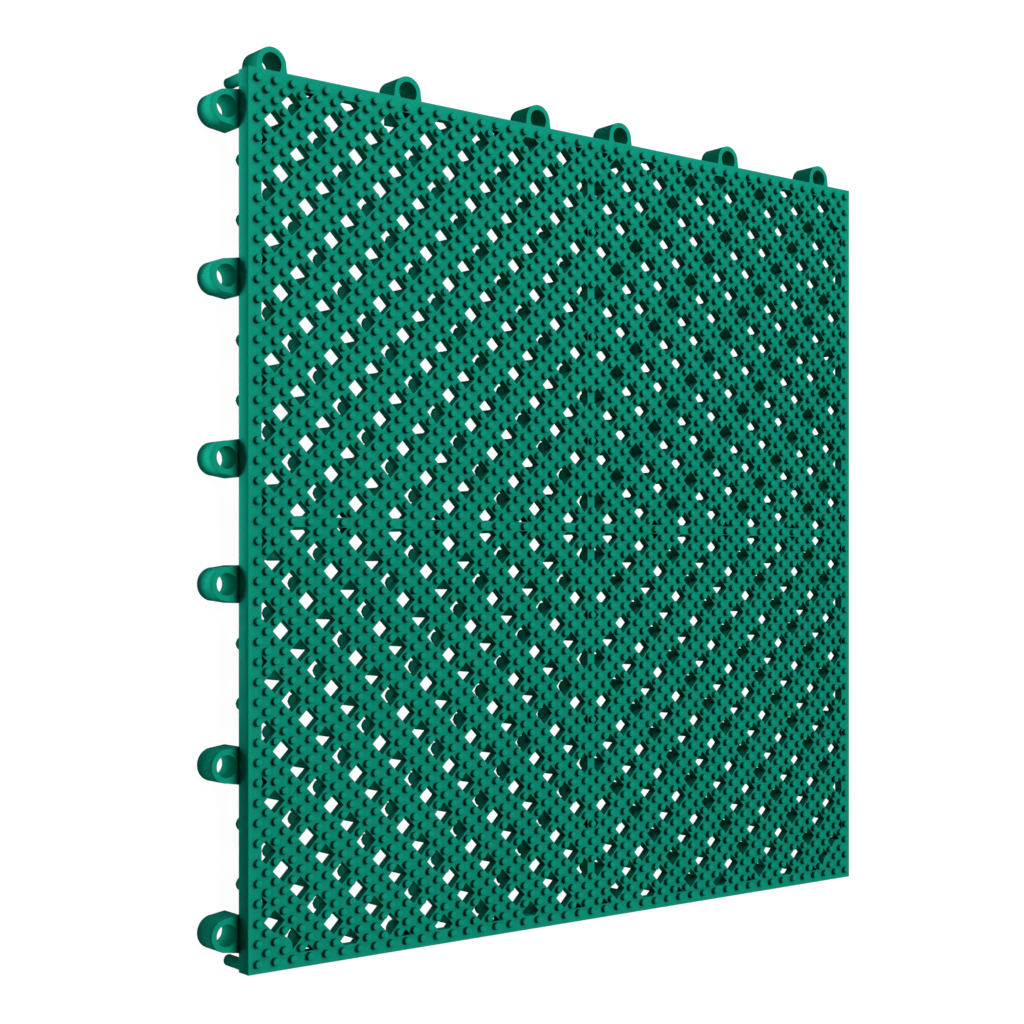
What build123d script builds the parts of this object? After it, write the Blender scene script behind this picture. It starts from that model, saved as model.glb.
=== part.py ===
from build123d import *

import os

# Interlocking drainage tile, moulded in one piece.
# X runs along the tile, Y towards its far loop side, Z up out of the walked-on face. Millimetres.
# The feet stand on Z = 0, and X = Y = 0 is the middle of the outline with the loops.

SIDE = 304.8
FACE_Z = 17.0
DECK_THICKNESS = 3.6
SKIRT_DEPTH = 6.4
SKIRT_WALL = 2.0

# Drain holes: diamonds on a lattice of 45 pitches to a side
PITCHES = 45
HOLE_HALF_DIAGONAL = 4.03
BORDER = 5.1
BAR_WIDTH = 3.5
SMALLEST_HOLE_AREA = 0.6

# Feet, in rows out from the centre bars
FOOT_ROWS = 14
FOOT_RADIUS = 2.4
FOOT_SIDES = 6
FOOT_INSET = 7.1
FOOT_SHIFT = 0.5
PIN_RADIUS = 2.0
PIN_INSET = 2.1

# Loops, and the pegs that fit them; each corner's loops are placed from that corner
LOOP_INSETS = [12.9, 69.8, 131.1]
LOOP_OUT = 4.5
LOOP_BORE_RADIUS = 3.85
LOOP_WALL = 1.9
LOOP_FOOT_Z = 0.3
LOOP_ROOT_WIDTH = 12.9
LOOP_ROOT_DEPTH = 6.1
LOOP_HEEL = 0.5
LOOP_STEM_WIDTH = 7.0
PEG_CLEARANCE = 0.3
PEG_SHOULDER = 0.8
PEG_FOOT_Z = 1.5
PAD_RADIUS = 4.35
PAD_INSET = 7.2

EDGE = SIDE / 2
HALF_PITCH = SIDE / (2 * PITCHES)
DECK_UNDER_Z = FACE_Z - DECK_THICKNESS
SKIRT_Z = FACE_Z - SKIRT_DEPTH
FOOT_STEP = (EDGE - FOOT_INSET - FOOT_SHIFT) / FOOT_ROWS
LOOP_RADIUS = LOOP_BORE_RADIUS + LOOP_WALL
LOOP_ALONG = [EDGE - inset for inset in LOOP_INSETS]
PEG_RADIUS = LOOP_BORE_RADIUS - PEG_CLEARANCE
ORIGIN_SHIFT = (LOOP_OUT + LOOP_RADIUS) / 2


def clip(points, a, b, c):
    """The part of a convex polygon where a x + b y <= c."""
    kept = []
    for i, p in enumerate(points):
        q = points[(i + 1) % len(points)]
        p_in = a * p[0] + b * p[1] - c
        q_in = a * q[0] + b * q[1] - c
        if p_in <= 0:
            kept.append(p)
        if p_in * q_in < 0:
            t = p_in / (p_in - q_in)
            kept.append((p[0] + t * (q[0] - p[0]), p[1] + t * (q[1] - p[1])))
    return kept


def area_of(points):
    """The area of a polygon."""
    total = 0.0
    for i, p in enumerate(points):
        q = points[(i + 1) % len(points)]
        total += p[0] * q[1] - q[0] * p[1]
    return abs(total) / 2


def column_of(outline, low, high):
    """A straight column on an outline, between two heights."""
    return extrude(Pos(0, 0, low) * outline, high - low)


def hole_outlines():
    """Drain holes of one quadrant: diamonds in nested chevrons, cut short by the border and the centre bars."""
    limit = EDGE - BORDER
    r = HOLE_HALF_DIAGONAL
    outlines = []
    for row in range(PITCHES):
        for column in range(PITCHES):
            ring = row + column - 4
            if ring % 6 or column % 2 == (ring // 6) % 2:
                continue
            x = column * HALF_PITCH
            y = row * HALF_PITCH
            outline = [(x + r, y), (x, y + r), (x - r, y), (x, y - r)]
            outline = clip(outline, 1, 0, limit)
            outline = clip(outline, 0, 1, limit)
            outline = clip(outline, -1, 0, -BAR_WIDTH / 2)
            outline = clip(outline, 0, -1, -BAR_WIDTH / 2)
            if len(outline) > 2 and area_of(outline) > SMALLEST_HOLE_AREA:
                outlines.append(outline)
    return outlines


def foot_spots():
    """Feet of one quadrant, in staggered rows. The last row has none on the bars or beside a loop or a peg."""
    spots = []
    for row in range(FOOT_ROWS + 1):
        for column in range(FOOT_ROWS + 1):
            x = column * FOOT_STEP + (FOOT_SHIFT if column else 0)
            y = row * FOOT_STEP + (FOOT_SHIFT if row else 0)
            along = min(x, y)
            taken = along == 0 or any(abs(along - a) < LOOP_ROOT_WIDTH / 2 + FOOT_RADIUS for a in LOOP_ALONG)
            if (row + column) % 2 or FOOT_ROWS in (row, column) and taken:
                continue
            spots.append((x, y))
    return spots


# Deck and feet: one quadrant, mirrored three times, then the feet on the centre bars
corner = Wire.make_polygon([(0, 0, 0), (EDGE, 0, 0), (EDGE, EDGE, 0), (0, EDGE, 0)])
openings = [Wire.make_polygon([(x, y, 0) for x, y in outline]) for outline in hole_outlines()]
quadrant = extrude(Pos(0, 0, DECK_UNDER_Z) * Face(corner, openings), DECK_THICKNESS, dir=(0, 0, 1))

foot = column_of(RegularPolygon(FOOT_RADIUS, FOOT_SIDES), 0, DECK_UNDER_Z)
spots = foot_spots()
quadrant = quadrant.fuse(*[Pos(x, y) * foot for x, y in spots if x and y])
left = mirror(quadrant, Plane.YZ)
near = mirror(quadrant, Plane.XZ)
left_near = mirror(left, Plane.XZ)
bar_spots = {(a * x, b * y) for x, y in spots if not (x and y) for a in (1, -1) for b in (1, -1)}
bar_feet = [Pos(x, y) * foot for x, y in sorted(bar_spots)]

# Skirt around the rim, corner pins, and the solid pads in the deck over the end pegs
skirt = Rectangle(SIDE, SIDE) - Rectangle(SIDE - 2 * SKIRT_WALL, SIDE - 2 * SKIRT_WALL)
rim = [column_of(skirt, SKIRT_Z, DECK_UNDER_Z)]
pad = column_of(Circle(PAD_RADIUS), DECK_UNDER_Z, FACE_Z)
pin = column_of(Circle(PIN_RADIUS), 0, DECK_UNDER_Z)
for a in (1, -1):
    for b in (1, -1):
        rim.append(Pos(a * (EDGE - PIN_INSET), b * (EDGE - PIN_INSET)) * pin)
    rim.append(Pos(EDGE - PAD_INSET, a * LOOP_ALONG[0]) * pad)
    rim.append(Pos(a * LOOP_ALONG[0], PAD_INSET - EDGE) * pad)

# Loops on the left and far sides, each on a stem and a root block, and a shouldered peg across from each loop
out = EDGE + LOOP_OUT
root = EDGE - LOOP_ROOT_DEPTH
wide = LOOP_ROOT_WIDTH / 2
heel = EDGE - LOOP_HEEL
stem = LOOP_STEM_WIDTH / 2
web = make_face(
    Polyline(
        (-out, -LOOP_RADIUS), (-EDGE, -wide), (-heel, -wide), (-heel, -stem), (-root, -stem),
        (-root, stem), (-heel, stem), (-heel, wide), (-EDGE, wide), (-out, LOOP_RADIUS), close=True,
    )
)
ring = column_of(Pos(-out, 0) * Circle(LOOP_RADIUS), LOOP_FOOT_Z, SKIRT_Z) + column_of(web, LOOP_FOOT_Z, SKIRT_Z)
block = column_of(Pos(-(EDGE + root) / 2, 0) * Rectangle(LOOP_ROOT_DEPTH, LOOP_ROOT_WIDTH), SKIRT_Z, DECK_UNDER_Z)
loop = ring + block - column_of(Pos(-out, 0) * Circle(LOOP_BORE_RADIUS), LOOP_FOOT_Z, SKIRT_Z)
shoulder = column_of(Circle(PEG_RADIUS + PEG_SHOULDER), SKIRT_Z, DECK_UNDER_Z)
peg = Pos(EDGE - LOOP_OUT, 0) * (column_of(Circle(PEG_RADIUS), PEG_FOOT_Z, SKIRT_Z) + shoulder)
for along in [s * a for a in LOOP_ALONG for s in (1, -1)]:
    for turn in (Pos(0, along), Rot(0, 0, -90) * Pos(0, along)):
        rim.append(turn * loop)
        rim.append(turn * peg)

tile = quadrant.fuse(left, near, left_near, *bar_feet, *rim)
tile = Pos(ORIGIN_SHIFT, -ORIGIN_SHIFT, 0) * tile
os.makedirs("parts", exist_ok=True)
export_step(tile, "parts/drainage_tile.step")
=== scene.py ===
"""Looks of an interlocking drainage tile of moulded green plastic, lying on a pale floor."""

import bpy
import numpy as np
from mathutils import Matrix, Vector


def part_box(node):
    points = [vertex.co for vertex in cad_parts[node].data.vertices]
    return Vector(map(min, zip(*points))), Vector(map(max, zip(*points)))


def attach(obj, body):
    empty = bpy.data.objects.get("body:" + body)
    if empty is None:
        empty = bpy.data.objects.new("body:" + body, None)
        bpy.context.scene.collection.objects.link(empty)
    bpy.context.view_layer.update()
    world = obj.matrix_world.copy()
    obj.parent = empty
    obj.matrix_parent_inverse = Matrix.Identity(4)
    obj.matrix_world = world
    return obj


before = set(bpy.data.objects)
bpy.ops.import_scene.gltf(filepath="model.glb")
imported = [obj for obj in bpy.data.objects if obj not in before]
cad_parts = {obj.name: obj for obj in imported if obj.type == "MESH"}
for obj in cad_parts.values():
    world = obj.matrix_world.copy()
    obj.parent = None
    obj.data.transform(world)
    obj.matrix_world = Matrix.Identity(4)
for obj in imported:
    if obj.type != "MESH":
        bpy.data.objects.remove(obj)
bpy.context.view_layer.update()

# Sizes in metres. The tile's square ends at the loop-free sides of the node's box.
NODE = "drainage_tile"
SIDE = 0.3048
PITCHES = 45
HALF_PITCH = SIDE / (2 * PITCHES)
low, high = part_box(NODE)
CENTRE_X = high[0] - SIDE / 2
CENTRE_Y = low[1] + SIDE / 2
FACE_Z = high[2]
DECK_THICKNESS = 0.0036
DECK_UNDER_Z = FACE_Z - DECK_THICKNESS
OVERLAP = 0.0002

# Studs. Holes are open up to the limit, which is in half pitches from the middle.
STUD_RADIUS = 0.00128
STUD_HEIGHT = 0.0016
STUD_EDGE = 0.00025
STUD_SIDES = 16
HOLE_LIMIT = 43.5

# Round sleeves on the solid's six-sided feet, in the same rows
FOOT_ROWS = 14
FOOT_RADIUS = 0.00247
FOOT_EDGE = 0.0004
FOOT_INSET = 0.0071
FOOT_SHIFT = 0.0005
FOOT_STEP = (SIDE / 2 - FOOT_INSET - FOOT_SHIFT) / FOOT_ROWS
FOOT_SIDES = 18
LOOP_INSETS = (0.0129, 0.0698, 0.1311)
LOOP_HALF_WIDTH = 0.00645
LOOP_OUT = 0.0045

# Plastic
TONE_DARK = (0.0040, 0.266, 0.176, 1)
TONE_LIGHT = (0.0055, 0.298, 0.200, 1)
DRIFT_SCALE = 14.0
GRAIN_SCALE = 1800.0
GRAIN_SHARE = 0.4
GRAIN_BUMP = 0.12
GRAIN_DEPTH = 0.0001
ROUGHNESS_LOW = 0.40
ROUGHNESS_HIGH = 0.56
# Painted shade: how far the ambient-occlusion darkening reaches into inner corners, and its darkest tone
PAINTED_SHADE_REACH = 0.003
PAINTED_SHADE_TONE = 0.25

# Floor and world
FLOOR_SIZE = 12.0
FLOOR_SHADOW = 0.10
FLOOR_WHITE = 1.08
FLOOR_BOUNCE = 0.08
FLOOR_MATT = 0.9
SKY_LIGHT = 0.015

# Low side lights along the left rim: name, strength, and the stretch of the rim that each one is level with
LEFT_LIGHT_X = -0.175
LEFT_LIGHT_Z = 0.0010
LEFT_AIM_X = -0.147
LEFT_AIM_Z = 0.0112
LEFT_LIGHT_HEIGHT = 0.002
LEFT_LIGHT_SPREAD = 0.6
LEFT_LIGHTS = [
    ("left_far", 3.5, -0.025, 0.165),
    ("left_middle", 2.4, -0.055, -0.025),
    ("left_next", 1.9, -0.08, -0.055),
    ("left_near", 0.86, -0.165, -0.08),
]

# Soft upward lights on the floor: name, strength, and two opposite corners of the lit rectangle
GLOW_Z = 0.0002
FLOOR_GLOWS = [
    ("near_glow", 1.2, (-0.15, -0.190), (0.16, -0.165)),
    ("loop_glow", 0.40, (-0.163, -0.16), (-0.135, 0.165)),
    ("middle_glow", 0.35, (-0.135, -0.155), (-0.06, 0.165)),
    ("right_glow", 0.15, (-0.06, -0.155), (0.155, 0.165)),
]
BORE_GLOW = 1.3
BORE_GLOW_HALF = 0.0035
BORE_X = CENTRE_X - SIDE / 2 - LOOP_OUT

# Camera. The shift is given in pixels of the photograph's frame.
LENS = 60.87
SENSOR_WIDTH = 36.0
SHIFT_Y = 61.2 / 1024
CAMERA_BACK = 0.4452
CAMERA_ASIDE = 0.0176
CAMERA_ABOVE = 0.508
CAMERA_VIEW = (0.6241, 0.0, -0.7813)


def hole_at(column, row):
    """Whether the chevron pattern has an open drain hole centred on this lattice point."""
    ring = abs(column) + abs(row) - 4
    on_ring = ring % 6 == 0 and column % 2 != (ring // 6) % 2
    covered = column == 0 or row == 0 or max(abs(column), abs(row)) > HOLE_LIMIT
    return on_ring and not covered


def stud_places():
    """Stud centres by quarter of the deck: every second lattice point that has no hole."""
    quarters = {"left_far": [], "right_far": [], "left_near": [], "right_near": []}
    for row in range(1 - PITCHES, PITCHES):
        for column in range(1 - PITCHES, PITCHES):
            if (row + column) % 2 or hole_at(column, row):
                continue
            quarter = ("left" if column < 0 else "right") + ("_far" if row > 0 else "_near")
            quarters[quarter].append((CENTRE_X + column * HALF_PITCH, CENTRE_Y + row * HALF_PITCH))
    return quarters


def foot_places():
    """Foot centres in staggered rows. The last row has none on the bars or beside a loop or a peg."""
    loops = [SIDE / 2 - inset for inset in LOOP_INSETS]
    places = []
    for row in range(-FOOT_ROWS, FOOT_ROWS + 1):
        for column in range(-FOOT_ROWS, FOOT_ROWS + 1):
            x = column * FOOT_STEP + FOOT_SHIFT * np.sign(column)
            y = row * FOOT_STEP + FOOT_SHIFT * np.sign(row)
            along = min(abs(x), abs(y))
            taken = along == 0 or any(abs(along - a) < LOOP_HALF_WIDTH + FOOT_RADIUS for a in loops)
            if (row + column) % 2 or FOOT_ROWS in (abs(row), abs(column)) and taken:
                continue
            places.append((CENTRE_X + x, CENTRE_Y + y))
    return places


def turned_mesh(name, places, profile, sides):
    """The same closed turned shape at many places, as one mesh. The profile lists radius and height."""
    angles = np.linspace(0, 2 * np.pi, sides, endpoint=False)
    rings = len(profile)
    shape = np.array([[r * np.cos(a), r * np.sin(a), z] for r, z in profile for a in angles])
    spots = np.array([[x, y, 0.0] for x, y in places])
    vertices = (spots[:, None, :] + shape[None, :, :]).reshape(-1, 3)
    around = np.arange(sides)
    after = (around + 1) % sides
    walls = []
    for k in range(rings - 1):
        lower = k * sides
        upper = lower + sides
        walls.append(np.stack([lower + around, lower + after, upper + after, upper + around], axis=1))
    one = np.concatenate(walls)
    caps = [around[::-1], (rings - 1) * sides + around]
    faces = []
    for i in range(len(places)):
        start = i * rings * sides
        faces += (one + start).tolist()
        faces += [(cap + start).tolist() for cap in caps]
    mesh = bpy.data.meshes.new(name)
    mesh.from_pydata(vertices.tolist(), [], faces)
    mesh.update()
    mesh.shade_smooth()
    piece = bpy.data.objects.new(name, mesh)
    bpy.context.scene.collection.objects.link(piece)
    return piece


def moulded_plastic():
    """Matt green plastic: slow drifts of tone, fine mould grain, and painted shade that darkens the colour
    in inner corners.
    """
    material = bpy.data.materials.new("green_plastic")
    material.use_nodes = True
    nodes = material.node_tree.nodes
    links = material.node_tree.links
    shader = nodes["Principled BSDF"]
    shader.inputs["Specular IOR Level"].default_value = 0.0
    place = nodes.new("ShaderNodeTexCoord")
    drift = nodes.new("ShaderNodeTexNoise")
    drift.inputs["Scale"].default_value = DRIFT_SCALE
    drift.inputs["Detail"].default_value = 3.0
    links.new(place.outputs["Object"], drift.inputs["Vector"])
    grain = nodes.new("ShaderNodeTexNoise")
    grain.inputs["Scale"].default_value = GRAIN_SCALE
    grain.inputs["Detail"].default_value = 2.0
    links.new(place.outputs["Object"], grain.inputs["Vector"])
    speckle = nodes.new("ShaderNodeMix")
    speckle.inputs["Factor"].default_value = GRAIN_SHARE
    links.new(drift.outputs["Fac"], speckle.inputs["A"])
    links.new(grain.outputs["Fac"], speckle.inputs["B"])
    tone = nodes.new("ShaderNodeValToRGB")
    tone.color_ramp.elements[0].position = 0.3
    tone.color_ramp.elements[0].color = TONE_DARK
    tone.color_ramp.elements[1].position = 0.7
    tone.color_ramp.elements[1].color = TONE_LIGHT
    links.new(speckle.outputs["Result"], tone.inputs["Fac"])
    # Painted shade: ambient occlusion darkens the colour in inner corners, on stud sides and on hole walls,
    # where shade falls
    corner = nodes.new("ShaderNodeAmbientOcclusion")
    corner.samples = 4
    corner.inputs["Distance"].default_value = PAINTED_SHADE_REACH
    painted_shade_level = nodes.new("ShaderNodeMapRange")
    painted_shade_level.inputs["From Min"].default_value = 0.35
    painted_shade_level.inputs["From Max"].default_value = 0.85
    painted_shade_level.inputs["To Min"].default_value = PAINTED_SHADE_TONE
    links.new(corner.outputs["AO"], painted_shade_level.inputs["Value"])
    shade = nodes.new("ShaderNodeMix")
    shade.data_type = "RGBA"
    shade.blend_type = "MULTIPLY"
    shade.inputs["Factor"].default_value = 1.0
    links.new(tone.outputs["Color"], shade.inputs["A"])
    links.new(painted_shade_level.outputs["Result"], shade.inputs["B"])
    links.new(shade.outputs["Result"], shader.inputs["Base Color"])
    bump = nodes.new("ShaderNodeBump")
    bump.inputs["Strength"].default_value = GRAIN_BUMP
    bump.inputs["Distance"].default_value = GRAIN_DEPTH
    links.new(grain.outputs["Fac"], bump.inputs["Height"])
    links.new(bump.outputs["Normal"], shader.inputs["Normal"])
    gloss = nodes.new("ShaderNodeMapRange")
    gloss.inputs["To Min"].default_value = ROUGHNESS_LOW
    gloss.inputs["To Max"].default_value = ROUGHNESS_HIGH
    links.new(drift.outputs["Fac"], gloss.inputs["Value"])
    links.new(gloss.outputs["Result"], shader.inputs["Roughness"])
    return material


def seen_directly(nodes, links):
    """1 for rays that show a surface to the eye, straight or by gloss or glass, and 0 for light bounces."""
    path = nodes.new("ShaderNodeLightPath")
    first = nodes.new("ShaderNodeMath")
    first.operation = "MAXIMUM"
    links.new(path.outputs["Is Camera Ray"], first.inputs[0])
    links.new(path.outputs["Is Glossy Ray"], first.inputs[1])
    both = nodes.new("ShaderNodeMath")
    both.operation = "MAXIMUM"
    links.new(first.outputs[0], both.inputs[0])
    links.new(path.outputs["Is Transmission Ray"], both.inputs[1])
    return both.outputs[0]


def pale_floor():
    """White where the eye sees it, with a faint shadow, and a quieter bounce of light for the tile."""
    material = bpy.data.materials.new("pale_floor")
    material.use_nodes = True
    nodes = material.node_tree.nodes
    links = material.node_tree.links
    nodes.clear()
    output = nodes.new("ShaderNodeOutputMaterial")
    bounce = nodes.new("ShaderNodeBsdfDiffuse")
    bounce.inputs["Color"].default_value = (FLOOR_BOUNCE, FLOOR_BOUNCE, FLOOR_BOUNCE, 1)
    white = nodes.new("ShaderNodeEmission")
    white.inputs["Strength"].default_value = FLOOR_WHITE
    matt = nodes.new("ShaderNodeBsdfDiffuse")
    matt.inputs["Color"].default_value = (FLOOR_MATT, FLOOR_MATT, FLOOR_MATT, 1)
    shown = nodes.new("ShaderNodeMixShader")
    shown.inputs["Fac"].default_value = FLOOR_SHADOW
    links.new(white.outputs[0], shown.inputs[1])
    links.new(matt.outputs[0], shown.inputs[2])
    choice = nodes.new("ShaderNodeMixShader")
    links.new(seen_directly(nodes, links), choice.inputs["Fac"])
    links.new(bounce.outputs[0], choice.inputs[1])
    links.new(shown.outputs[0], choice.inputs[2])
    links.new(choice.outputs[0], output.inputs["Surface"])
    return material


def studio_world():
    """White to the eye, and a low even light for the tile."""
    world = bpy.data.worlds.new("studio")
    world.use_nodes = True
    nodes = world.node_tree.nodes
    links = world.node_tree.links
    nodes.clear()
    sky = nodes.new("ShaderNodeBackground")
    sky.inputs["Strength"].default_value = SKY_LIGHT
    backdrop = nodes.new("ShaderNodeBackground")
    backdrop.inputs["Color"].default_value = (1, 1, 1, 1)
    pick = nodes.new("ShaderNodeMixShader")
    links.new(seen_directly(nodes, links), pick.inputs["Fac"])
    links.new(sky.outputs[0], pick.inputs[1])
    links.new(backdrop.outputs[0], pick.inputs[2])
    links.new(pick.outputs[0], nodes.new("ShaderNodeOutputWorld").inputs["Surface"])
    return world


def lamp(name, kind, energy, place, aim, **settings):
    """A lamp at a place, turned to shine on a point."""
    data = bpy.data.lights.new(name, kind)
    data.energy = energy
    for key, value in settings.items():
        setattr(data, key, value)
    light = bpy.data.objects.new(name, data)
    light.location = place
    light.visible_camera = False
    light.rotation_euler = (Vector(aim) - Vector(place)).to_track_quat("-Z", "Y").to_euler()
    bpy.context.scene.collection.objects.link(light)


def area_energy(strength, width, depth):
    """The energy at which an area lamp of this size is as bright as white paper where the strength is 1."""
    return 4 * strength * width * depth


def left_light(name, strength, low_y, high_y):
    """A low light beside a stretch of the left rim, which shines slightly up at the skirt and the loops."""
    middle = (low_y + high_y) / 2
    width = high_y - low_y
    lamp(
        name,
        "AREA",
        area_energy(strength, width, LEFT_LIGHT_HEIGHT),
        (LEFT_LIGHT_X, middle, LEFT_LIGHT_Z),
        (LEFT_AIM_X, middle, LEFT_AIM_Z),
        shape="RECTANGLE",
        size=width,
        size_y=LEFT_LIGHT_HEIGHT,
        spread=LEFT_LIGHT_SPREAD,
    )


def floor_glow(name, strength, corner, opposite):
    """A soft upward light over a rectangle of the floor."""
    width = opposite[0] - corner[0]
    depth = opposite[1] - corner[1]
    data = bpy.data.lights.new(name, "AREA")
    data.shape = "RECTANGLE"
    data.size = width
    data.size_y = depth
    data.energy = area_energy(strength, width, depth)
    light = bpy.data.objects.new(name, data)
    light.location = (corner[0] + width / 2, corner[1] + depth / 2, GLOW_Z)
    light.rotation_euler = (np.pi, 0, 0)
    light.visible_camera = False
    bpy.context.scene.collection.objects.link(light)


# Tile, its studs and the round feet around the solid's six-sided ones
plastic = moulded_plastic()
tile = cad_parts[NODE]
tile.data.materials.clear()
tile.data.materials.append(plastic)

stud_top = FACE_Z + STUD_HEIGHT
stud_profile = [
    (STUD_RADIUS, FACE_Z - OVERLAP),
    (STUD_RADIUS, stud_top - STUD_EDGE),
    (STUD_RADIUS - 0.3 * STUD_EDGE, stud_top - 0.3 * STUD_EDGE),
    (STUD_RADIUS - STUD_EDGE, stud_top),
]
foot_profile = [
    (FOOT_RADIUS - FOOT_EDGE, 0.0),
    (FOOT_RADIUS, FOOT_EDGE),
    (FOOT_RADIUS, DECK_UNDER_Z + OVERLAP),
]
pieces = [
    turned_mesh("studs_" + quarter, places, stud_profile, STUD_SIDES)
    for quarter, places in stud_places().items()
]
pieces.append(turned_mesh("round_feet", foot_places(), foot_profile, FOOT_SIDES))
for piece in pieces:
    piece.data.materials.append(plastic)
    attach(piece, "root")

# Floor and world
reach = FLOOR_SIZE / 2
floor_mesh = bpy.data.meshes.new("floor")
floor_corners = [(-reach, -reach, 0), (reach, -reach, 0), (reach, reach, 0), (-reach, reach, 0)]
floor_mesh.from_pydata(floor_corners, [], [(0, 1, 2, 3)])
floor = bpy.data.objects.new("floor", floor_mesh)
floor.data.materials.append(pale_floor())
bpy.context.scene.collection.objects.link(floor)
bpy.context.scene.world = studio_world()

# Lamps: a key and a fill from above, low lights at the left rim, and glows on the floor
lamp("key", "SUN", 2.88, (0.33, 0.25, 1.0), (0, 0, 0), angle=0.6)
lamp("far_fill", "AREA", 0.45, (0, 0.33, 0.25), (0, 0.1, 0.017), shape="RECTANGLE", size=0.5, size_y=0.15)
for name, strength, low_y, high_y in LEFT_LIGHTS:
    left_light(name, strength, low_y, high_y)
for name, strength, corner, opposite in FLOOR_GLOWS:
    floor_glow(name, strength, corner, opposite)
for inset in LOOP_INSETS:
    for side in (1, -1):
        bore_y = CENTRE_Y + side * (SIDE / 2 - inset)
        corner = (BORE_X - BORE_GLOW_HALF, bore_y - BORE_GLOW_HALF)
        opposite = (BORE_X + BORE_GLOW_HALF, bore_y + BORE_GLOW_HALF)
        floor_glow("bore_glow", BORE_GLOW, corner, opposite)

# Camera: it leans over the left side, and the tile's far side is up in the picture
camera_data = bpy.data.cameras.new("camera")
camera_data.lens = LENS
camera_data.sensor_width = SENSOR_WIDTH
camera_data.shift_y = SHIFT_Y
camera = bpy.data.objects.new("camera", camera_data)
bpy.context.scene.collection.objects.link(camera)
view = Vector(CAMERA_VIEW).normalized()
up = Vector((0, 1, 0))
turn = Matrix((view.cross(up), up, -view)).transposed()
place = Vector((CENTRE_X - CAMERA_BACK, CENTRE_Y - CAMERA_ASIDE, FACE_Z + CAMERA_ABOVE))
camera.matrix_world = Matrix.Translation(place) @ turn.to_4x4()
bpy.context.scene.camera = camera
bpy.context.scene.view_settings.view_transform = "Standard"
